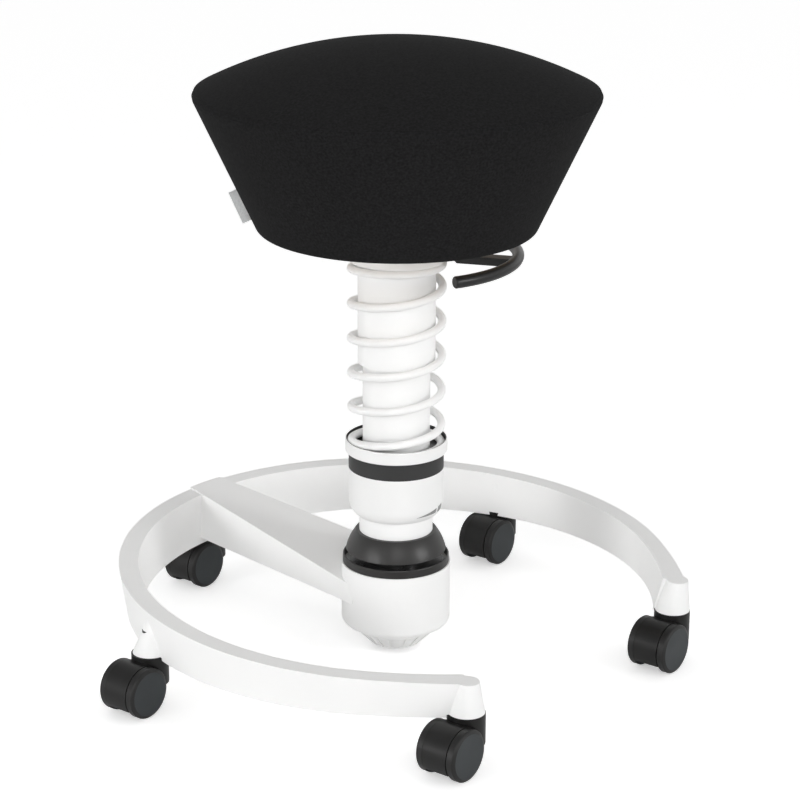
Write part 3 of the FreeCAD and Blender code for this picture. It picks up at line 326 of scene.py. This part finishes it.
def seat_profile():
    """(radius, height) points from the hem under the pan, up the side, over the rim to the crown,
    and the number of the point where the rim is widest."""
    lean = math.degrees(math.atan2(SEAT_R - FOOT_R, SEAM_Z - BOTTOM_Z))
    rise = CROWN_Z - SEAM_Z
    dome_r = (SEAT_R ** 2 + rise ** 2) / (2 * rise)
    dome_z = CROWN_Z - dome_r
    fall = math.degrees(math.asin(SEAT_R / dome_r))
    points = [(HEM_INNER_R, HEM_Z + HEM_RISE), (HEM_INNER_R, HEM_Z)]
    foot_z = BOTTOM_Z + FOOT_ROUND
    foot = (side_radius(foot_z) - FOOT_ROUND / math.cos(math.radians(lean)), foot_z)
    points += arc_points(foot, FOOT_ROUND, -90, -lean, FOOT_STEPS)

    # The rim's rounding touches the side and the dome's slope
    half = math.radians(90 + fall - lean) / 2
    reach = RIM_ROUND / math.sin(half)
    way = math.radians(-lean) - math.pi / 2 - half
    centre = (SEAT_R + reach * math.cos(way), SEAM_Z + reach * math.sin(way))
    rim = arc_points(centre, RIM_ROUND, -lean, 90 - fall, RIM_STEPS)
    points += line_points(points[-1], rim[0], SIDE_STEPS) + rim
    widest = max(range(len(points)), key=lambda i: points[i][0])

    # The dome, with the rim's small step against it run out towards the crown
    last = rim[-1]
    start = math.atan2(last[0], last[1] - dome_z)
    lift = math.hypot(last[0], last[1] - dome_z) - dome_r
    for i in range(1, DOME_STEPS + 1):
        a = start * (1 - i / DOME_STEPS)
        r = dome_r + lift * (1 - i / DOME_STEPS) ** 4
        points.append((r * math.sin(a), dome_z + r * math.cos(a)))
    return points, widest


def with_seam(points, widest):
    """Raises the two ridges of the seam."""
    along = [0.0]
    for p, q in zip(points, points[1:]):
        along.append(along[-1] + math.dist(p, q))
    out = [points[0]]
    for i in range(1, len(points) - 1):
        dr, dz = (points[i + 1][k] - points[i - 1][k] for k in (0, 1))
        length = math.hypot(dr, dz)
        up = 0.0
        for offset in SEAM_OFFSETS:
            x = (along[i] - along[widest] - offset) / SEAM_WIDTH
            up += SEAM_RIDGE * math.exp(-x * x)
        out.append((points[i][0] + up * dz / length, points[i][1] - up * dr / length))
    return out + [points[-1]]


def build_seat():
    profile = with_seam(*seat_profile())
    mesh = bpy.data.meshes.new("seat_cover")
    build = bmesh.new()
    rings = []
    for radius, z in profile[:-1]:
        ring = []
        for i in range(SEAT_STEPS):
            a = 2 * math.pi * i / SEAT_STEPS
            ring.append(build.verts.new((radius * math.cos(a), radius * math.sin(a), z)))
        rings.append(ring)
    top = build.verts.new((0, 0, profile[-1][1]))
    for low, high in zip(rings, rings[1:]):
        for i in range(SEAT_STEPS):
            j = (i + 1) % SEAT_STEPS
            build.faces.new((low[i], low[j], high[j], high[i]))
    for i in range(SEAT_STEPS):
        build.faces.new((rings[-1][i], rings[-1][(i + 1) % SEAT_STEPS], top))
    bmesh.ops.recalc_face_normals(build, faces=build.faces)
    build.to_mesh(mesh)
    build.free()
    for face in mesh.polygons:
        face.use_smooth = True
    seat = bpy.data.objects.new("seat_cover", mesh)
    bpy.context.collection.objects.link(seat)
    solid = seat.modifiers.new("thickness", "SOLIDIFY")
    solid.thickness = COVER_THICKNESS
    solid.offset = -1
    dress(seat, "seat_fabric")
    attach(seat, "seat")
    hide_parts("seat_cushion")


# Printed scale on the spring cup

def cup_radius(z):
    if z >= CUP_ROUND_Z:
        return CUP_R
    return CUP_R - CUP_ROUND_R + math.sqrt(CUP_ROUND_R ** 2 - (CUP_ROUND_Z - z) ** 2)


def print_patch(build, start, end, low, high, steps=24, rows=6):
    """A patch on the cup between two directions, from height low(share) to high(share)."""
    grid = []
    for i in range(steps + 1):
        share = i / steps
        a = math.radians(start + (end - start) * share)
        column = []
        for j in range(rows + 1):
            z = low(share) + (high(share) - low(share)) * j / rows
            r = cup_radius(z) + PRINT_LIFT
            column.append(build.verts.new((r * math.cos(a), r * math.sin(a), z)))
        grid.append(column)
    for near, far in zip(grid, grid[1:]):
        for j in range(rows):
            build.faces.new((near[j], far[j], far[j + 1], near[j + 1]))


def build_scale():
    mesh = bpy.data.meshes.new("firmness_scale")
    build = bmesh.new()
    # A wedge that rises to the right, with a light gap before its wide end
    print_patch(build, -112, -80, lambda t: 0.1578, lambda t: 0.1580 + 0.0052 * t)
    print_patch(build, -76.5, -66.5, lambda t: 0.1576 - 0.001 * t, lambda t: 0.1638 + 0.0014 * t)
    build.to_mesh(mesh)
    build.free()
    for face in mesh.polygons:
        face.use_smooth = True
    scale = bpy.data.objects.new("firmness_scale", mesh)
    bpy.context.collection.objects.link(scale)
    mesh.materials.append(MATERIALS["print"])
    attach(scale, "cup")


# Floor, light and camera

def build_floor():
    bpy.ops.mesh.primitive_plane_add(size=30.0, location=(0, 0, -FLOOR_DROP))
    floor = bpy.context.object
    floor.name = "floor"
    material, tree, shader = new_material("floor_white")
    shader.inputs["Base Color"].default_value = (0.97, 0.97, 0.97, 1.0)
    shader.inputs["Roughness"].default_value = 0.9
    shader.inputs["Specular IOR Level"].default_value = 0.1
    glow = add_node(tree, "ShaderNodeEmission")
    rays = add_node(tree, "ShaderNodeLightPath")
    show = add_node(tree, "ShaderNodeMath", operation="MULTIPLY")
    show.inputs[1].default_value = FLOOR_GLOW
    both = add_node(tree, "ShaderNodeAddShader")
    tree.links.new(rays.outputs["Is Camera Ray"], show.inputs[0])
    tree.links.new(show.outputs["Value"], glow.inputs["Strength"])
    tree.links.new(shader.outputs["BSDF"], both.inputs[0])
    tree.links.new(glow.outputs["Emission"], both.inputs[1])
    tree.links.new(both.outputs["Shader"], tree.nodes["Material Output"].inputs["Surface"])
    floor.data.materials.append(material)


def build_world():
    world = bpy.data.worlds.new("studio")
    world.use_nodes = True
    bpy.context.scene.world = world
    tree = world.node_tree
    fill = tree.nodes["Background"]
    fill.inputs["Color"].default_value = (1, 1, 1, 1)
    place = add_node(tree, "ShaderNodeTexCoord")
    split = add_node(tree, "ShaderNodeSeparateXYZ")
    sky = add_node(tree, "ShaderNodeMapRange")
    sky.inputs["From Min"].default_value = SKY_LOW_END
    sky.inputs["From Max"].default_value = SKY_HIGH_END
    sky.inputs["To Min"].default_value = SKY_LOW
    sky.inputs["To Max"].default_value = SKY_HIGH
    tree.links.new(place.outputs["Generated"], split.inputs["Vector"])
    tree.links.new(split.outputs["Z"], sky.inputs["Value"])
    tree.links.new(sky.outputs["Result"], fill.inputs["Strength"])
    seen = add_node(tree, "ShaderNodeBackground", Strength=1.0)
    seen.inputs["Color"].default_value = (1, 1, 1, 1)
    rays = add_node(tree, "ShaderNodeLightPath")
    most = add_node(tree, "ShaderNodeMath", operation="MAXIMUM")
    mix = add_node(tree, "ShaderNodeMixShader")
    tree.links.new(rays.outputs["Is Camera Ray"], most.inputs[0])
    tree.links.new(rays.outputs["Is Transmission Ray"], most.inputs[1])
    tree.links.new(most.outputs["Value"], mix.inputs["Fac"])
    tree.links.new(fill.outputs["Background"], mix.inputs[1])
    tree.links.new(seen.outputs["Background"], mix.inputs[2])
    tree.links.new(mix.outputs["Shader"], tree.nodes["World Output"].inputs["Surface"])


def add_lamp(name, place, size, power, target=(0, 0, 0.3), spread=180):
    light = bpy.data.lights.new(name, "AREA")
    light.shape = "DISK"
    light.size = size
    light.energy = power
    light.spread = math.radians(spread)
    lamp = bpy.data.objects.new(name, light)
    lamp.location = place
    aim = Vector(target) - Vector(place)
    lamp.rotation_euler = aim.to_track_quat("-Z", "Y").to_euler()
    bpy.context.collection.objects.link(lamp)


def seen_from_camera(right, away, up):
    """A point given to the camera's right, away from the camera and up, about the column's axis."""
    side = Vector((math.cos(CAMERA_YAW), math.sin(CAMERA_YAW), 0))
    ahead = Vector((-math.sin(CAMERA_YAW), math.cos(CAMERA_YAW), 0))
    return side * right + ahead * away + Vector((0, 0, up))


def build_lights():
    seat, base = (0, 0, 0.56), (0, 0, 0.08)
    ring_left = seen_from_camera(-0.24, 0.05, 0.1)
    add_lamp("front", seen_from_camera(0.4, -4.4, 2.8), 2.4, 42.0)
    add_lamp("seat_right", seen_from_camera(3.2, -1.8, 1.7), 1.2, 0.4, seat, 24)
    add_lamp("base_left", seen_from_camera(-3.4, -2.6, 0.9), 1.4, 1.9, base, 30)
    add_lamp("base_right", seen_from_camera(3.2, -1.6, 1.3), 0.9, 0.42, ring_left, 14)


def build_camera():
    data = bpy.data.cameras.new("camera")
    data.sensor_width = SENSOR_MM
    data.lens = FOCAL_PIXELS * SENSOR_MM / IMAGE_PIXELS
    data.shift_x = SHIFT_PIXELS / IMAGE_PIXELS
    data.clip_end = 100
    camera = bpy.data.objects.new("camera", data)
    turn = Matrix.Rotation(CAMERA_YAW, 4, "Z")
    tip = Matrix.Rotation(math.pi / 2 - CAMERA_PITCH, 4, "X")
    roll = Matrix.Rotation(CAMERA_ROLL, 4, "Z")
    camera.matrix_world = turn @ Matrix.Translation((0, -CAMERA_DISTANCE, CAMERA_HEIGHT)) @ tip @ roll
    bpy.context.collection.objects.link(camera)
    bpy.context.scene.camera = camera


bpy.context.scene.view_settings.view_transform = "Standard"
dress_frame()
build_seat()
build_scale()
build_floor()
build_world()
build_lights()
build_camera()
